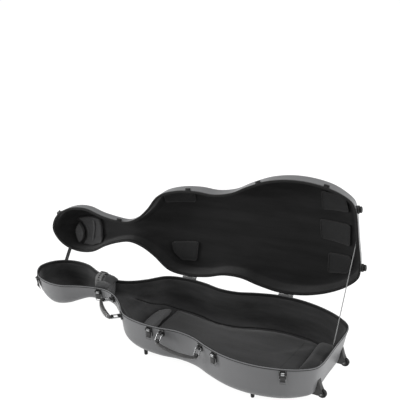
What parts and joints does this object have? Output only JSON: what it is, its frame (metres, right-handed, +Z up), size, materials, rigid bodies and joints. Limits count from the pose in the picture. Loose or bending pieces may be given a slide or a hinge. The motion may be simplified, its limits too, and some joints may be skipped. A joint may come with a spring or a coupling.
{
  "type": "cello hard case",
  "caption": "Moulded cello case lying open on its back: hinged lid on stays, draw latches, swing handles, wheels, feet, fleece lining, pads and neck cradle.",
  "frame": {"origin": "middle of the footprint of the open case, on the plane of its back feet", "axes": "+X from the scroll end to the bottom end, +Y from the latch side to the hinge side, +Z up; the lid stands open"},
  "size_m": [1.379, 0.63, 0.6675],
  "materials": {
    "shell": "satin moulded plastic with a fine grain",
    "rubber": "matt black rubber",
    "fleece": "short charcoal fleece over foam",
    "cushion": "grey brushed fabric over foam",
    "black_metal": "black lacquer",
    "chrome": "bright chrome",
    "grip": "stitched black leather",
    "webbing": "woven grey tape",
    "steel": "grey pressed steel"
  },
  "bodies": {
    "base": {"base_shell": "shell", "base_rim_band": "rubber", "base_lining": "fleece", "back_cushion": "cushion", "shoulder_pad": "cushion", "neck_cradle": "fleece", "end_block": "fleece", "hinge_leaf_base_lower_bout": "steel", "hinge_leaf_base_upper_bout": "steel", "latch_plate_scroll": "black_metal", "latch_plate_neck": "black_metal", "latch_plate_shoulder": "black_metal", "latch_plate_waist": "black_metal", "latch_plate_bout": "black_metal", "main_handle_bracket_bottom": "black_metal", "main_handle_bracket_top": "black_metal", "neck_handle_bracket_bottom": "black_metal", "neck_handle_bracket_top": "black_metal", "back_foot_bottom_latch_side": "rubber", "back_foot_bottom_hinge_side": "rubber", "back_foot_top_latch_side": "rubber", "back_foot_top_hinge_side": "rubber", "wheel_housing_latch_side": "black_metal", "wheel_housing_hinge_side": "black_metal", "wheel_axle_latch_side": "steel", "wheel_axle_hinge_side": "steel", "stay_end": "webbing", "stay_scroll": "webbing"},
    "lid": {"lid_shell": "shell", "lid_rim_seal": "rubber", "lid_lining": "fleece", "scroll_pouch": "fleece", "hinge_leaf_lid_lower_bout": "steel", "hinge_leaf_lid_upper_bout": "steel", "latch_keeper_scroll": "chrome", "latch_keeper_neck": "chrome", "latch_keeper_shoulder": "chrome", "latch_keeper_waist": "chrome", "latch_keeper_bout": "chrome", "lid_end_foot_latch_side": "rubber", "lid_end_foot_hinge_side": "rubber"},
    "latch_lever_scroll": {"latch_lever_scroll": "chrome"},
    "latch_bail_scroll": {"latch_bail_scroll": "chrome"},
    "latch_lever_neck": {"latch_lever_neck": "chrome"},
    "latch_bail_neck": {"latch_bail_neck": "chrome"},
    "latch_lever_shoulder": {"latch_lever_shoulder": "chrome"},
    "latch_bail_shoulder": {"latch_bail_shoulder": "chrome"},
    "latch_lever_waist": {"latch_lever_waist": "chrome"},
    "latch_bail_waist": {"latch_bail_waist": "chrome"},
    "latch_lever_bout": {"latch_lever_bout": "chrome"},
    "latch_bail_bout": {"latch_bail_bout": "chrome"},
    "main_handle_links": {"main_handle_link_bottom": "chrome", "main_handle_link_top": "chrome"},
    "main_handle_grip": {"main_handle_grip": "grip"},
    "neck_handle_links": {"neck_handle_link_bottom": "chrome", "neck_handle_link_top": "chrome"},
    "neck_handle_grip": {"neck_handle_grip": "grip"},
    "wheel_latch_side": {"wheel_latch_side": "rubber"},
    "wheel_hinge_side": {"wheel_hinge_side": "rubber"},
    "neck_strap": {"neck_strap": "webbing"}
  },
  "joints": [
    {"name": "lid_hinge", "type": "hinge", "parent": "base", "child": "lid", "pos_m": [0.35537, 0.17492, 0.175], "axis": [-0.9923, -0.1238, 0], "range_deg": [-92.7, 0], "deforming": ["stay_end", "stay_scroll"]},
    {"name": "latch_lever_scroll_swing", "type": "hinge", "parent": "base", "child": "latch_lever_scroll", "pos_m": [-0.63438, -0.14763, 0.15907], "axis": [-0.7959, 0.6055, 0], "range_deg": [0, 100]},
    {"name": "latch_bail_scroll_swing", "type": "hinge", "parent": "latch_lever_scroll", "child": "latch_bail_scroll", "pos_m": [-0.63349, -0.14646, 0.14918], "axis": [0.7959, -0.6055, 0], "range_deg": [-170, 0]},
    {"name": "latch_lever_neck_swing", "type": "hinge", "parent": "base", "child": "latch_lever_neck", "pos_m": [-0.34259, -0.12225, 0.15888], "axis": [-0.9846, -0.1751, 0], "range_deg": [0, 100]},
    {"name": "latch_bail_neck_swing", "type": "hinge", "parent": "latch_lever_neck", "child": "latch_bail_neck", "pos_m": [-0.34292, -0.12041, 0.14906], "axis": [0.9846, 0.1751, 0], "range_deg": [-170, 0]},
    {"name": "latch_lever_shoulder_swing", "type": "hinge", "parent": "base", "child": "latch_lever_shoulder", "pos_m": [-0.0079, -0.26607, 0.15948], "axis": [-0.9996, -0.0289, 0], "range_deg": [0, 100]},
    {"name": "latch_bail_shoulder_swing", "type": "hinge", "parent": "latch_lever_shoulder", "child": "latch_bail_shoulder", "pos_m": [-0.00792, -0.26531, 0.14951], "axis": [0.9996, 0.0289, 0], "range_deg": [-170, 0]},
    {"name": "latch_lever_waist_swing", "type": "hinge", "parent": "base", "child": "latch_lever_waist", "pos_m": [0.2918, -0.30266, 0.15951], "axis": [-0.9567, 0.291, 0], "range_deg": [0, 100]},
    {"name": "latch_bail_waist_swing", "type": "hinge", "parent": "latch_lever_waist", "child": "latch_bail_waist", "pos_m": [0.292, -0.30198, 0.14953], "axis": [0.9567, -0.291, 0], "range_deg": [-170, 0]},
    {"name": "latch_lever_bout_swing", "type": "hinge", "parent": "base", "child": "latch_lever_bout", "pos_m": [0.56642, -0.29166, 0.15949], "axis": [-0.94, -0.3413, 0], "range_deg": [0, 100]},
    {"name": "latch_bail_bout_swing", "type": "hinge", "parent": "latch_lever_bout", "child": "latch_bail_bout", "pos_m": [0.56616, -0.29095, 0.14952], "axis": [0.94, 0.3413, 0], "range_deg": [-170, 0]},
    {"name": "main_handle_swing", "type": "hinge", "parent": "base", "child": "main_handle_links", "pos_m": [0.13287, -0.27233, 0.155], "axis": [-0.9959, 0.09, 0], "range_deg": [-28, 105]},
    {"name": "main_handle_grip_tilt", "type": "hinge", "parent": "main_handle_links", "child": "main_handle_grip", "pos_m": [0.13132, -0.2895, 0.13294], "axis": [-0.9959, 0.09, 0], "range_deg": [-40, 40]},
    {"name": "neck_handle_swing", "type": "hinge", "parent": "base", "child": "neck_handle_links", "pos_m": [-0.21761, -0.18312, 0.155], "axis": [-0.7453, 0.6667, 0], "range_deg": [-84, 50]},
    {"name": "neck_handle_grip_tilt", "type": "hinge", "parent": "neck_handle_links", "child": "neck_handle_grip", "pos_m": [-0.23623, -0.20394, 0.15695], "axis": [-0.7453, 0.6667, 0], "range_deg": [-40, 40]},
    {"name": "wheel_latch_side_roll", "type": "hinge", "parent": "base", "child": "wheel_latch_side", "pos_m": [0.67181, -0.17974, 0.04], "axis": [0, 1, 0], "continuous": true},
    {"name": "wheel_hinge_side_roll", "type": "hinge", "parent": "base", "child": "wheel_hinge_side", "pos_m": [0.67181, 0.04026, 0.04], "axis": [0, 1, 0], "continuous": true},
    {"name": "neck_strap_lift", "type": "hinge", "parent": "base", "child": "neck_strap", "pos_m": [-0.35768, -0.03453, 0.1903], "axis": [-0.9781, -0.2079, 0], "range_deg": [0, 90]}
  ]
}
